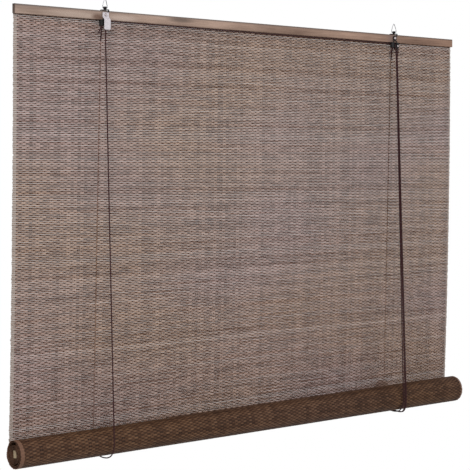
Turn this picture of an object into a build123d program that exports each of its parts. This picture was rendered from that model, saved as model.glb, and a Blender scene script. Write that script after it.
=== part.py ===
from build123d import *

import os
from math import acos, asin, atan2, cos, degrees, hypot, pi, radians, sin, tan

# A roll-up blind of woven bamboo sticks, hung from two wire loops on its head rail.
# Millimetres. +X to the right, +Y to the wall, +Z up. The origin is above the middle of the rail,
# where two hooks carry the loops. "Drop" is how far a point lies below the rail's top.

# Head rail
RAIL_LENGTH = 1200.0
RAIL_HEIGHT = 18.0
RAIL_THICKNESS = 8.0
RAIL_EDGE_RADIUS = 0.8
HOOK_RISE = 24.5

# Round pieces and bends are cut into flats
ROUND_SIDES = 16
SHEAVE_SIDES = 20
TUBE_SIDES = 6
BEND_STEP = 22.5
SHORTEST_FLAT = 0.01

# Hanging mat
MAT_LEFT_INSET = 2.5
MAT_RIGHT_REACH = 2.5
MAT_BOW = 17.5
MAT_SEAT_GAP = 0.05
STICK_PITCH = 3.45
STICK_THICKNESS = 2.2
WEB_THICKNESS = 0.9
GAP_HEIGHT = 0.9
FIRST_GAP_STICK = 7
STICKS_PER_GAP = 4
SELVEDGE_WIDTH = 8.0
CORD_HOLE_CLEARANCE = 0.8

# Rolled-up part of the mat
ROLL_DROP = 835.0
ROLL_RADIUS = 29.75
ROLL_LEFT_REACH = 2.4
ROLL_RIGHT_REACH = 0.6
ROLL_TO_MAT_GAP = 0.4
TURN_PITCH = 2.4
TURN_THICKNESS = 1.9
SPIRAL_STEPS_PER_TURN = 16

# Flat stick in the roll's core
LATH_END_INSET = 1.5
LATH_WIDTH = 14.0
LATH_THICKNESS = 9.0
LATH_SEAT_GAP = 0.05
LATH_CORNER_CLEARANCE = 1.1

# Staples
STAPLE_CROWN = 9.0
STAPLE_WIRE = 0.7
STAPLE_DEPTH = 6.0
STAPLE_COUNT = 10
STAPLE_END_MARGIN = 60.0
STAPLE_TO_ARM = 4.0

# Hangers, one near each end of the rail
LEFT_HANGER_INSET = 203.5
RIGHT_HANGER_INSET = 195.7
HEAD_RADIUS = 3.7
HEAD_HEIGHT = 4.5
STEM_RADIUS = 2.3
STEM_HEIGHT = 3.8
ARM_RADIUS = 1.2
ARM_RISE = 1.9
ARM_SEAT_GAP = 0.1
ARM_BEND = 2.5
BACK_ARM_SIDE = -5.4
BACK_ARM_DROP = 9.0
FRONT_ARM_SIDE = 5.6
EYE_RADIUS = 5.5
EYE_THICKNESS = 2.2
EYE_SIDE = -2.6
EYE_DROP = 8.2
EYE_JOIN_ANGLE = 40.0
LEG_RADIUS = 1.0
LEG_BEND = 1.4

# Screws through the eyes
SCREW_RADIUS = 1.4
SCREW_HEAD_RADIUS = 3.1
SCREW_HEAD_HEIGHT = 1.6
SCREW_SLOT_WIDTH = 0.8
SCREW_SLOT_DEPTH = 0.6
SCREW_DEPTH = 6.0
SCREW_CLEARANCE = 0.3
THREAD_BITE = 0.25

# Wire loops in the hanger heads
LOOP_WIRE_RADIUS = 0.65
LOOP_HALF_WIDTH = 5.2
LOOP_SHOULDER_RISE = 4.5
LOOP_TOP_RADIUS = 1.7
LOOP_FOOT_BEND = 1.0
LOOP_SHOULDER_BEND = 4.0
LOOP_FOOT_REACH = 1.2
LOOP_BORE_CLEARANCE = 0.06
LEFT_LOOP_TURN = 0.0
RIGHT_LOOP_TURN = -40.0

# Pulley blocks
BLOCK_TOP_DROP = 18.5
BLOCK_PLATE_THICKNESS = 1.0
BLOCK_FRONT_Y = -11.0
BECKET_SIDE = -13.0
BECKET_WIDTH = 9.0
BECKET_DEPTH = 4.4
BECKET_FRONT_GAP = 1.0
BECKET_HEIGHT = 11.5
BECKET_BORE_DEPTH = 6.0
CHEEK_THICKNESS = 1.0
CHEEK_RADIUS = 3.6
AXLE_SIDE = 1.8
AXLE_DROP = 26.2

# Sheaves and their axle pins
SHEAVE_RADIUS = 6.3
SHEAVE_WIDTH = 4.0
SHEAVE_SIDE_GAP = 0.2
SHEAVE_BORE_CLEARANCE = 0.05
GROOVE_CLEARANCE = 0.2
PIN_RADIUS = 1.5
PIN_SEAT_CLEARANCE = 0.03
PIN_HEAD_RADIUS = 2.2
PIN_HEAD_HEIGHT = 0.8
PIN_RIVET_HEIGHT = 0.5

# Cords
CORD_DIAMETER = 2.4
CORD_REACH = 5.2
CORD_END_GAP = 0.3
CORD_JOINT_GAP = 0.25
CORD_TOP_DROP = 52.0
BIGHT_CLEARANCE = 1.35
KNOT_RADIUS = 2.9
KNOT_SHOULDER = 1.2
KNOT_SEAT_GAP = 0.05
KNOT_STUB = 5.0
KNOT_CLEARANCE = 0.1
TAIL_REACH = (-6.5, 3.0, 12.5)
BACK_STRAND_Y = 8.1
LEAD_CORNER_DROP = 62.0
BACK_STRAND_DROP = 76.0
LEAD_BEND = 7.0

# Where each strand lies from its hanger's middle, at its top and at the roll
LEFT_FRONT_TOP_SIDE = -3.9
LEFT_FRONT_ROLL_SIDE = -4.2
LEFT_BACK_TOP_SIDE = -5.1
LEFT_BACK_ROLL_SIDE = -9.9
RIGHT_FRONT_TOP_SIDE = 0.3
RIGHT_FRONT_ROLL_SIDE = -7.9
RIGHT_BACK_TOP_SIDE = -3.1
RIGHT_BACK_ROLL_SIDE = -6.3
PULL_RIGHT_TOP_SIDE = 3.4
PULL_RIGHT_ROLL_SIDE = 1.3
PULL_LEFT_TOP_SIDE = 4.5
PULL_LEFT_ROLL_SIDE = -2.3

# Hank of the two pull strands, tied behind the roll
HANK_SIDE = -4.3
HANK_TURNS_DEEP = 6
HANK_LAYERS = 5
HANK_RUN = 15.6
HANK_FOLD_RADIUS = 7.2
HANK_FOLD_STEPS = 8
HANK_BEND = 12.0
HANK_ENTRY = 7.2
HANK_SEAT_GAP = 0.15
TAIL_IN_HANK = 1.5
TIE_HEIGHT = 6.0
TIE_WRAP = 0.8
TIE_CLEARANCE = 0.1

# Paper tag under the left screw head
TAG_LEFT_SIDE = -9.8
TAG_WIDTH = 14.6
TAG_TOP_DROP = 3.5
TAG_BOTTOM_DROP = 37.5
TAG_CREASE_DROP = 12.0
TAG_LIP_DROP = 18.0
TAG_THICKNESS = 0.4
TAG_CORNER_RADIUS = 3.0
TAG_FRONT_CLEARANCE = 0.6
TAG_SEAT_GAP = 0.03

# Sizes that follow from those above
RAIL_TOP_Z = -HOOK_RISE
LEFT_HANGER_X = -RAIL_LENGTH / 2 + LEFT_HANGER_INSET
RIGHT_HANGER_X = RAIL_LENGTH / 2 - RIGHT_HANGER_INSET
MAT_WIDTH = RAIL_LENGTH - MAT_LEFT_INSET + MAT_RIGHT_REACH
MAT_X = (MAT_LEFT_INSET + MAT_RIGHT_REACH) / 2
ROLL_LENGTH = RAIL_LENGTH + ROLL_LEFT_REACH + ROLL_RIGHT_REACH
ROLL_X = (ROLL_RIGHT_REACH - ROLL_LEFT_REACH) / 2
LATH_LENGTH = ROLL_LENGTH - 2 * LATH_END_INSET
RAIL_STAPLE_DROP = BACK_ARM_DROP + STAPLE_TO_ARM
CORD_RADIUS = CORD_DIAMETER / 2
MAT_TOP_Y = RAIL_THICKNESS / 2 + MAT_SEAT_GAP + STICK_THICKNESS / 2
MAT_LENGTH = ROLL_DROP - ROLL_TO_MAT_GAP
STICKS = round(MAT_LENGTH / STICK_PITCH)
STICK_STEP = MAT_LENGTH / STICKS
WINDING_RADIUS = ROLL_RADIUS - STICK_THICKNESS / 2
ROLL_Y = MAT_TOP_Y + MAT_BOW - WINDING_RADIUS
ROLL_Z = RAIL_TOP_Z - ROLL_DROP
BIGHT_RADIUS = ROLL_RADIUS + BIGHT_CLEARANCE + CORD_RADIUS
TURN_SEAT = LATH_THICKNESS / 2 + LATH_SEAT_GAP + TURN_THICKNESS / 2
LATH_CORNER = LATH_WIDTH / 2 + LATH_CORNER_CLEARANCE
LAST_RADIUS = hypot(LATH_CORNER, TURN_SEAT)
LAST_ANGLE = 2 * pi * (WINDING_RADIUS - LAST_RADIUS) / TURN_PITCH
LATH_TURN = -LAST_ANGLE - atan2(LATH_CORNER, TURN_SEAT)
BACK_Y = MAT_TOP_Y + STICK_THICKNESS / 2 + ARM_SEAT_GAP + ARM_RADIUS
FRONT_Y = -RAIL_THICKNESS / 2 - ARM_SEAT_GAP - ARM_RADIUS
EYE_FRONT_Y = FRONT_Y - EYE_THICKNESS / 2
BECKET_Y = BLOCK_FRONT_Y + BECKET_FRONT_GAP + BECKET_DEPTH / 2
HINGE_RISE = STEM_HEIGHT + HEAD_HEIGHT / 2
SHEAVE_STEP = SHEAVE_WIDTH + SHEAVE_SIDE_GAP
ROLL_TURN_BEND = BIGHT_RADIUS - CORD_JOINT_GAP
FIRST_SHEAVE_Y = BLOCK_FRONT_Y + CHEEK_THICKNESS + SHEAVE_SIDE_GAP + SHEAVE_WIDTH / 2
SECOND_SHEAVE_Y = FIRST_SHEAVE_Y + SHEAVE_STEP
HANK_OUTER_RADIUS = HANK_FOLD_RADIUS + (HANK_LAYERS - 0.5) * CORD_DIAMETER
HANK_INNER_RADIUS = HANK_FOLD_RADIUS - CORD_RADIUS
HANK_HEIGHT = HANK_RUN + 2 * HANK_OUTER_RADIUS
HANK_DEPTH = HANK_TURNS_DEEP * CORD_DIAMETER
HANK_X = RIGHT_HANGER_X + HANK_SIDE
HANK_FRONT_Y = ROLL_Y + BIGHT_RADIUS + CORD_RADIUS + HANK_SEAT_GAP
HANK_BOTTOM_Z = ROLL_Z - BIGHT_RADIUS + HANK_BEND + CORD_RADIUS
FACING_X = Plane.YZ
FACING_Y = Plane.XZ


def spot(x, y, drop):
    """A point at this drop below the rail's top."""
    return Vector(x, y, RAIL_TOP_Z - drop)


def block(x_low, x_high, y_low, y_high, top_drop, bottom_drop):
    """A box between two drops."""
    size = Box(x_high - x_low, y_high - y_low, bottom_drop - top_drop)
    return Location(spot((x_low + x_high) / 2, (y_low + y_high) / 2, (top_drop + bottom_drop) / 2)) * size


def bar_y(x, y_low, y_high, drop, radius, sides=ROUND_SIDES):
    """A bar of many flat sides from y_low to y_high."""
    outline = FACING_Y * extrude(RegularPolygon(radius, sides), amount=y_high - y_low)
    return Location(spot(x, y_high, drop)) * outline


def bore_y(x, y_low, y_high, drop, radius):
    """A round hole's shape from y_low to y_high."""
    return Location(spot(x, y_high, drop)) * (FACING_Y * extrude(Circle(radius), amount=y_high - y_low))


def post(x, y, top_drop, bottom_drop, radius):
    """An upright bar of many flat sides."""
    bar = extrude(RegularPolygon(radius, ROUND_SIDES), amount=bottom_drop - top_drop)
    return Location(spot(x, y, bottom_drop)) * bar


def rounded(points, bends):
    """The points of a route, with every corner replaced by the short flats of its bend."""
    route = [points[0]]
    for before, corner, after, bend in zip(points, points[1:], points[2:], bends):
        inward, outward = (corner - before).normalized(), (after - corner).normalized()
        turn = inward.get_angle(outward)
        half = radians(turn / 2)
        centre = corner + (outward - inward).normalized() * (bend / cos(half))
        arm = corner - inward * (bend * tan(half)) - centre
        steps = max(1, round(turn / BEND_STEP))
        for step in range(steps + 1):
            angle = 2 * half * step / steps
            flat_end = centre + arm * cos(angle) + inward * (bend * sin(angle))
            if (flat_end - route[-1]).length > SHORTEST_FLAT:
                route.append(flat_end)
    return route + [points[-1]]


def tube(points, radius, bends=()):
    """A bar or cord of flat sides along a route, with one bend radius for each corner."""
    path = Polyline(*rounded(points, bends)) if bends else Line(*points)
    section = Plane(origin=path @ 0, z_dir=path % 0) * RegularPolygon(radius, TUBE_SIDES)
    return sweep(section, path=path, transition=Transition.RIGHT)


def racetrack(run, radius):
    """An upright closed loop with two straight runs and two folds of short flats."""
    turns = [pi * step / HANK_FOLD_STEPS for step in range(HANK_FOLD_STEPS + 1)]
    top = [(radius * cos(turn), run / 2 + radius * sin(turn)) for turn in turns]
    return make_face(Polyline(*top, *[(-along, -up) for along, up in top], close=True))


def mat_y(drop):
    """The middle of the mat, which bows back towards the wall on its way down."""
    return MAT_TOP_Y + MAT_BOW * (drop / ROLL_DROP) ** 2


def head_rail():
    rail = block(
        -RAIL_LENGTH / 2, RAIL_LENGTH / 2, -RAIL_THICKNESS / 2, RAIL_THICKNESS / 2, 0, RAIL_HEIGHT
    )
    rail = fillet(rail.edges().filter_by(Axis.X), RAIL_EDGE_RADIUS)
    front = -RAIL_THICKNESS / 2
    for hanger_x in (LEFT_HANGER_X, RIGHT_HANGER_X):
        rail -= bar_y(
            hanger_x + EYE_SIDE, front, front + SCREW_DEPTH, EYE_DROP, SCREW_RADIUS - THREAD_BITE
        )
    return rail


def lead_points(hanger_x, back_x):
    """From the knot under the pulley block back through the mat, then down behind it."""
    knot = knot_centre(hanger_x)
    corner = spot(back_x, BACK_STRAND_Y, LEAD_CORNER_DROP)
    return [knot, corner, spot(back_x, BACK_STRAND_Y, BACK_STRAND_DROP)]


def mat():
    """Sticks side by side as ridges on both faces, with open gaps between pairs of them."""
    front, back = [], []
    for stick in range(STICKS):
        for share, thickness in ((0, WEB_THICKNESS), (0.5, STICK_THICKNESS)):
            drop = (stick + share) * STICK_STEP
            front.append((mat_y(drop) - thickness / 2, RAIL_TOP_Z - drop))
            back.append((mat_y(drop) + thickness / 2, RAIL_TOP_Z - drop))
    end = RAIL_TOP_Z - MAT_LENGTH
    front.append((mat_y(MAT_LENGTH) - WEB_THICKNESS / 2, end))
    back.append((mat_y(MAT_LENGTH) + WEB_THICKNESS / 2, end))
    outline = make_face(Polyline(*front, *reversed(back), close=True))
    wall = Pos(MAT_X - MAT_WIDTH / 2, 0, 0) * extrude(FACING_X * outline, amount=MAT_WIDTH)
    cuts = []
    for stick in range(FIRST_GAP_STICK, STICKS, STICKS_PER_GAP):
        drop = stick * STICK_STEP
        slot = Box(MAT_WIDTH - 2 * SELVEDGE_WIDTH, 2 * STICK_THICKNESS, GAP_HEIGHT)
        cuts.append(Location(spot(MAT_X, mat_y(drop), drop)) * slot)
    for hanger_x, side in (
        (LEFT_HANGER_X, LEFT_BACK_TOP_SIDE),
        (RIGHT_HANGER_X, RIGHT_BACK_TOP_SIDE),
    ):
        hole = lead_points(hanger_x, hanger_x + side)[:2]
        cuts.append(tube(hole, CORD_RADIUS + CORD_HOLE_CLEARANCE))
    return wall - cuts


def rolled_point(angle, offset):
    """A point of the winding. It starts at the back and runs under, up the front and over."""
    radius = WINDING_RADIUS - TURN_PITCH * angle / (2 * pi) + offset
    return ROLL_Y + radius * cos(angle), ROLL_Z - radius * sin(angle)


def lath_point(along, out):
    """A point beside the core stick, in the roll's section."""
    return (
        ROLL_Y + out * cos(LATH_TURN) + along * sin(LATH_TURN),
        ROLL_Z + out * sin(LATH_TURN) - along * cos(LATH_TURN),
    )


def mat_roll():
    """One strip wound from the mat's lower end to the core, ridged where its sticks show outside."""
    outside, inside = [], []
    ridges = round(2 * pi * WINDING_RADIUS / STICK_PITCH)
    for ridge in range(ridges):
        for share, thickness in ((0, WEB_THICKNESS), (0.5, STICK_THICKNESS)):
            angle = 2 * pi * (ridge + share) / ridges
            outside.append(rolled_point(angle, thickness / 2))
    step = 2 * pi / SPIRAL_STEPS_PER_TURN
    inner_steps = round(LAST_ANGLE / step)
    for index in range(inner_steps + 1):
        angle = LAST_ANGLE * index / inner_steps
        inside.append(rolled_point(angle, -TURN_THICKNESS / 2))
        if angle > 2 * pi:
            outside.append(rolled_point(angle, TURN_THICKNESS / 2))
    flat_end = LATH_WIDTH / 2 - LATH_CORNER_CLEARANCE
    half = TURN_THICKNESS / 2
    outside.append(lath_point(flat_end, TURN_SEAT + half))
    inside[-1] = lath_point(half - LATH_CORNER, TURN_SEAT - half)
    inside.append(lath_point(flat_end, TURN_SEAT - half))
    outline = make_face(Polyline(*outside, *reversed(inside), close=True))
    return Pos(ROLL_X - ROLL_LENGTH / 2, 0, 0) * extrude(FACING_X * outline, amount=ROLL_LENGTH)


def in_roll():
    """The place and tilt of the core stick in the roll."""
    return Pos(ROLL_X, ROLL_Y, ROLL_Z) * Rot(degrees(LATH_TURN), 0, 0)


def core_lath():
    return in_roll() * Box(LATH_LENGTH, LATH_THICKNESS, LATH_WIDTH)


def staple():
    """One staple whose crown lies on the XZ plane, with its legs towards -Y."""
    crown = Pos(0, STAPLE_WIRE / 2, 0) * Box(STAPLE_CROWN, STAPLE_WIRE, STAPLE_WIRE)
    leg = Box(STAPLE_WIRE, STAPLE_DEPTH, STAPLE_WIRE)
    reach = (STAPLE_CROWN - STAPLE_WIRE) / 2
    return crown + Pos(-reach, -STAPLE_DEPTH / 2, 0) * leg + Pos(reach, -STAPLE_DEPTH / 2, 0) * leg


def staple_row(length, place):
    """Staples along a lath, each set at the given place."""
    first = STAPLE_END_MARGIN - length / 2
    step = (length - 2 * STAPLE_END_MARGIN) / (STAPLE_COUNT - 1)
    return Compound([Pos(first + step * i, 0, 0) * place * staple() for i in range(STAPLE_COUNT)])


def mat_staples():
    back = mat_y(RAIL_STAPLE_DROP) + STICK_THICKNESS / 2
    return staple_row(RAIL_LENGTH, Location(spot(0, back, RAIL_STAPLE_DROP)))


def core_staples():
    return staple_row(LATH_LENGTH, in_roll() * Pos(0, TURN_SEAT + TURN_THICKNESS / 2, 0))


def hanger_yoke(x):
    """A head on a short stem, an arm down the back, and one down the front to an eye and two legs."""
    stem_top = -STEM_HEIGHT
    yoke = post(x, 0, stem_top - HEAD_HEIGHT, stem_top, HEAD_RADIUS)
    ends = yoke.faces().filter_by(Axis.Z)
    yoke = chamfer(ends.edges(), LOOP_WIRE_RADIUS)
    yoke += post(x, 0, stem_top, -ARM_SEAT_GAP, STEM_RADIUS)
    over = -ARM_RISE
    back_x, front_x, eye_x = x + BACK_ARM_SIDE, x + FRONT_ARM_SIDE, x + EYE_SIDE
    back_arm = [spot(x, 0, over), spot(back_x, BACK_Y, over), spot(back_x, BACK_Y, BACK_ARM_DROP)]
    yoke += tube(back_arm, ARM_RADIUS, (ARM_BEND,))
    eye_rim = EYE_RADIUS - ARM_RADIUS
    join = radians(EYE_JOIN_ANGLE)
    front_arm = [
        spot(x, 0, over),
        spot(front_x, FRONT_Y, over),
        spot(eye_x + eye_rim * cos(join), FRONT_Y, EYE_DROP - eye_rim * sin(join)),
    ]
    yoke += tube(front_arm, ARM_RADIUS, (ARM_BEND,))
    half = EYE_THICKNESS / 2
    yoke += bar_y(eye_x, FRONT_Y - half, FRONT_Y + half, EYE_DROP, EYE_RADIUS)
    leg_start = EYE_DROP + EYE_RADIUS - LEG_RADIUS
    leg_bend_drop = BLOCK_TOP_DROP - 2 * LEG_RADIUS
    for side, foot_x, foot_y in (
        (-LEG_RADIUS, x + BECKET_SIDE + BECKET_WIDTH / 2 - LEG_RADIUS, BECKET_Y),
        (LEG_RADIUS, x + AXLE_SIDE, FIRST_SHEAVE_Y),
    ):
        leg = [
            spot(eye_x + side, FRONT_Y, leg_start - LEG_RADIUS),
            spot(foot_x, foot_y, leg_bend_drop),
            spot(foot_x, foot_y, BLOCK_TOP_DROP),
        ]
        yoke += tube(leg, LEG_RADIUS, (LEG_BEND,))
    screw_hole = SCREW_RADIUS + SCREW_CLEARANCE
    return yoke - bore_y(eye_x, FRONT_Y - half, FRONT_Y + half, EYE_DROP, screw_hole)


def loop_direction(turn):
    """The way along the loop's hinge, turned about the upright."""
    return Vector(cos(radians(turn)), sin(radians(turn)), 0)


def drilled_yoke(x, turn):
    """The yoke with the cross bore in its head that holds the loop's feet."""
    way = loop_direction(turn) * (HEAD_RADIUS + LOOP_WIRE_RADIUS)
    middle = spot(x, 0, -HINGE_RISE)
    path = Line(middle - way, middle + way)
    section = Plane(origin=path @ 0, z_dir=way) * Circle(LOOP_WIRE_RADIUS + LOOP_BORE_CLEARANCE)
    return hanger_yoke(x) - sweep(section, path=path)


def hanging_loop(x, turn):
    """A drop-shaped wire loop whose feet turn in the head's cross bore."""
    way = loop_direction(turn)
    middle = spot(x, 0, -HINGE_RISE)
    top_centre = HOOK_RISE - HINGE_RISE + LOOP_WIRE_RADIUS - LOOP_TOP_RADIUS
    rise = top_centre - LOOP_SHOULDER_RISE
    lean = atan2(LOOP_HALF_WIDTH, rise) - asin(LOOP_TOP_RADIUS / hypot(LOOP_HALF_WIDTH, rise))
    peak = LOOP_SHOULDER_RISE + LOOP_HALF_WIDTH / tan(lean)
    half = [(LOOP_FOOT_REACH, 0), (LOOP_HALF_WIDTH, 0), (LOOP_HALF_WIDTH, LOOP_SHOULDER_RISE)]
    outline = half + [(0, peak)] + [(-along, up) for along, up in reversed(half)]
    points = [middle + way * along + Vector(0, 0, up) for along, up in outline]
    bends = (LOOP_FOOT_BEND, LOOP_SHOULDER_BEND, LOOP_TOP_RADIUS, LOOP_SHOULDER_BEND, LOOP_FOOT_BEND)
    return tube(points, LOOP_WIRE_RADIUS, bends)


def screw(x, seat_y):
    """A slotted round-head screw with its head's underside at seat_y."""
    head = bar_y(x, seat_y - SCREW_HEAD_HEIGHT, seat_y, EYE_DROP, SCREW_HEAD_RADIUS)
    rim = head.faces().sort_by(Axis.Y)[0].edges()
    head = chamfer(rim, SCREW_HEAD_HEIGHT / 2)
    front = seat_y - SCREW_HEAD_HEIGHT
    half = SCREW_SLOT_WIDTH / 2
    head -= block(
        x - SCREW_HEAD_RADIUS, x + SCREW_HEAD_RADIUS, front, front + SCREW_SLOT_DEPTH,
        EYE_DROP - half, EYE_DROP + half,
    )
    end = -RAIL_THICKNESS / 2 + SCREW_DEPTH
    return head + bar_y(x, seat_y, end, EYE_DROP, SCREW_RADIUS)


def yoke_screws():
    left_seat = EYE_FRONT_Y - TAG_THICKNESS - 2 * TAG_SEAT_GAP
    return Compound(
        [
            screw(LEFT_HANGER_X + EYE_SIDE, left_seat),
            screw(RIGHT_HANGER_X + EYE_SIDE, EYE_FRONT_Y),
        ]
    )


def cheek(axle_x, front_y):
    """A rounded plate that carries one end of the axle pin."""
    back_y = front_y + CHEEK_THICKNESS
    plate = block(
        axle_x - CHEEK_RADIUS, axle_x + CHEEK_RADIUS, front_y, back_y, BLOCK_TOP_DROP, AXLE_DROP
    )
    plate += bar_y(axle_x, front_y, back_y, AXLE_DROP, CHEEK_RADIUS)
    return plate - bore_y(axle_x, front_y, back_y, AXLE_DROP, PIN_RADIUS + PIN_SEAT_CLEARANCE)


def rear_cheek_y(sheaves):
    return BLOCK_FRONT_Y + CHEEK_THICKNESS + SHEAVE_SIDE_GAP + sheaves * SHEAVE_STEP


def pulley_block(x, sheaves):
    """A top plate with two cheeks under its one end and a solid becket under the other."""
    axle_x = x + AXLE_SIDE
    becket_low = x + BECKET_SIDE - BECKET_WIDTH / 2
    becket_high = x + BECKET_SIDE + BECKET_WIDTH / 2
    rear_y = rear_cheek_y(sheaves)
    body = block(
        becket_low, axle_x + CHEEK_RADIUS, BLOCK_FRONT_Y, rear_y + CHEEK_THICKNESS,
        BLOCK_TOP_DROP, BLOCK_TOP_DROP + BLOCK_PLATE_THICKNESS,
    )
    becket_front = BLOCK_FRONT_Y + BECKET_FRONT_GAP
    body += block(
        becket_low, becket_high, becket_front, becket_front + BECKET_DEPTH,
        BLOCK_TOP_DROP, BLOCK_TOP_DROP + BECKET_HEIGHT,
    )
    body += cheek(axle_x, BLOCK_FRONT_Y)
    body += cheek(axle_x, rear_y)
    bottom = BLOCK_TOP_DROP + BECKET_HEIGHT
    bore = (x + BECKET_SIDE, BECKET_Y, bottom - BECKET_BORE_DEPTH, bottom)
    return body - post(*bore, CORD_RADIUS + KNOT_CLEARANCE)


def sheave(x, y):
    """A grooved wheel on the axle pin, with its groove round the cord."""
    floor = CORD_REACH - CORD_RADIUS - GROOVE_CLEARANCE
    inside = CORD_RADIUS + GROOVE_CLEARANCE
    axle_x, half = x + AXLE_SIDE, SHEAVE_WIDTH / 2
    wheel = bar_y(axle_x, y - half, y + half, AXLE_DROP, floor, SHEAVE_SIDES)
    wheel += bar_y(axle_x, y - half, y - inside, AXLE_DROP, SHEAVE_RADIUS, SHEAVE_SIDES)
    wheel += bar_y(axle_x, y + inside, y + half, AXLE_DROP, SHEAVE_RADIUS, SHEAVE_SIDES)
    return wheel - bore_y(axle_x, y - half, y + half, AXLE_DROP, PIN_RADIUS + SHEAVE_BORE_CLEARANCE)


def axle_pin(x, sheaves):
    """A pin with a round head at the front, riveted over behind the rear cheek."""
    axle_x = x + AXLE_SIDE
    back_y = rear_cheek_y(sheaves) + CHEEK_THICKNESS
    pin = bar_y(axle_x, BLOCK_FRONT_Y, back_y, AXLE_DROP, PIN_RADIUS)
    pin += bar_y(axle_x, BLOCK_FRONT_Y - PIN_HEAD_HEIGHT, BLOCK_FRONT_Y, AXLE_DROP, PIN_HEAD_RADIUS)
    return pin + bar_y(axle_x, back_y, back_y + PIN_RIVET_HEIGHT, AXLE_DROP, PIN_HEAD_RADIUS)


def paper_tag():
    """A blank tag on the left screw, bent forward over the pulley."""
    flat_y = EYE_FRONT_Y - TAG_SEAT_GAP - TAG_THICKNESS
    lip_y = BLOCK_FRONT_Y - PIN_HEAD_HEIGHT - TAG_FRONT_CLEARANCE - TAG_THICKNESS
    front = [
        (flat_y, RAIL_TOP_Z - TAG_TOP_DROP),
        (flat_y, RAIL_TOP_Z - TAG_CREASE_DROP),
        (lip_y, RAIL_TOP_Z - TAG_LIP_DROP),
        (lip_y, RAIL_TOP_Z - TAG_BOTTOM_DROP),
    ]
    back = [(y + TAG_THICKNESS, z) for y, z in reversed(front)]
    outline = make_face(Polyline(*front, *back, close=True))
    left = LEFT_HANGER_X + TAG_LEFT_SIDE
    tag = Pos(left, 0, 0) * extrude(FACING_X * outline, amount=TAG_WIDTH)
    lower_corners = tag.edges().filter_by(Axis.Y).group_by(Axis.Z)[0]
    tag = fillet(lower_corners, TAG_CORNER_RADIUS)
    return tag - bar_y(
        LEFT_HANGER_X + EYE_SIDE, flat_y, flat_y + TAG_THICKNESS, EYE_DROP,
        SCREW_RADIUS + SCREW_CLEARANCE,
    )


def knot_centre(hanger_x):
    drop = BLOCK_TOP_DROP + BECKET_HEIGHT + KNOT_SEAT_GAP + KNOT_RADIUS
    return spot(hanger_x + BECKET_SIDE, BECKET_Y, drop)


def cord_knot(hanger_x, back_side):
    """The knot under the becket, its cut end, and the lead that passes back through the mat."""
    centre = knot_centre(hanger_x)
    drop = RAIL_TOP_Z - centre.Z
    knot = post(centre.X, centre.Y, drop - KNOT_RADIUS, drop + KNOT_RADIUS, KNOT_RADIUS)
    knot = chamfer(knot.faces().filter_by(Axis.Z).edges(), KNOT_SHOULDER)
    knot += tube([centre, centre + Vector(0, 0, KNOT_RADIUS + KNOT_STUB)], CORD_RADIUS)
    side, back, down = TAIL_REACH
    knot += tube([centre, centre + Vector(side, back, -down)], CORD_RADIUS)
    return knot + tube(lead_points(hanger_x, hanger_x + back_side), CORD_RADIUS, (LEAD_BEND,))


def strand(top_x, top_y, top_drop, roll_x, roll_y):
    """A straight stretch of cord from near the rail down to the roll."""
    top = spot(top_x, top_y, top_drop + CORD_JOINT_GAP)
    return tube([top, spot(roll_x, roll_y, ROLL_DROP - CORD_END_GAP)], CORD_RADIUS)


def front_strand(hanger_x, top_side, groove_y, roll_side):
    roll_y = ROLL_Y - BIGHT_RADIUS
    return strand(hanger_x + top_side, groove_y, CORD_TOP_DROP, hanger_x + roll_side, roll_y)


def back_strand(hanger_x, top_side, roll_side):
    roll_y = ROLL_Y + BIGHT_RADIUS
    return strand(
        hanger_x + top_side, BACK_STRAND_Y, BACK_STRAND_DROP, hanger_x + roll_side, roll_y
    )


def back_strand_y(drop):
    """How far back the strand behind the mat lies at a drop."""
    share = (drop - BACK_STRAND_DROP) / (ROLL_DROP - BACK_STRAND_DROP)
    return BACK_STRAND_Y + (ROLL_Y + BIGHT_RADIUS - BACK_STRAND_Y) * share


def bight(front_x, back_x):
    """The half turn of a lift cord under the roll."""
    front_y, back_y = ROLL_Y - BIGHT_RADIUS, ROLL_Y + BIGHT_RADIUS
    low = ROLL_Z - BIGHT_RADIUS
    points = [
        Vector(front_x, front_y, ROLL_Z),
        Vector(front_x, front_y, low),
        Vector(back_x, back_y, low),
        Vector(back_x, back_y, ROLL_Z),
    ]
    return tube(points, CORD_RADIUS, (ROLL_TURN_BEND, ROLL_TURN_BEND))


def touch(axle_x, y, end_x, side):
    """Where a strand that ends at end_x leaves the sheave's groove, on its left (-1) or right (1)."""
    away_x, away_z = end_x - axle_x, AXLE_DROP - CORD_TOP_DROP
    angle = atan2(away_z, away_x) + side * acos(CORD_REACH / hypot(away_x, away_z))
    return spot(axle_x + CORD_REACH * cos(angle), y, AXLE_DROP - CORD_REACH * sin(angle))


def strand_end(y, end_x):
    """Where a strand in front meets the stretch of cord over its sheave."""
    return spot(end_x, y, CORD_TOP_DROP)


def corner_over(axle_x, y, end_x, side):
    """Where that strand's line meets the level line over the sheave's top."""
    end = strand_end(y, end_x)
    leaving = touch(axle_x, y, end_x, side)
    level = RAIL_TOP_Z - AXLE_DROP + CORD_REACH
    share = (level - end.Z) / (leaving.Z - end.Z)
    return end + (leaving - end) * share


def left_cord_run():
    """Up the front, over the left sheave, along under the rail and over the right rear sheave."""
    left_axle, right_axle = LEFT_HANGER_X + AXLE_SIDE, RIGHT_HANGER_X + AXLE_SIDE
    rising_x = LEFT_HANGER_X + LEFT_FRONT_TOP_SIDE
    falling_x = RIGHT_HANGER_X + PULL_LEFT_TOP_SIDE
    points = [
        strand_end(FIRST_SHEAVE_Y, rising_x),
        corner_over(left_axle, FIRST_SHEAVE_Y, rising_x, -1),
        corner_over(right_axle, SECOND_SHEAVE_Y, falling_x, 1),
        strand_end(SECOND_SHEAVE_Y, falling_x),
    ]
    return tube(points, CORD_RADIUS, (CORD_REACH, CORD_REACH))


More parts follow.
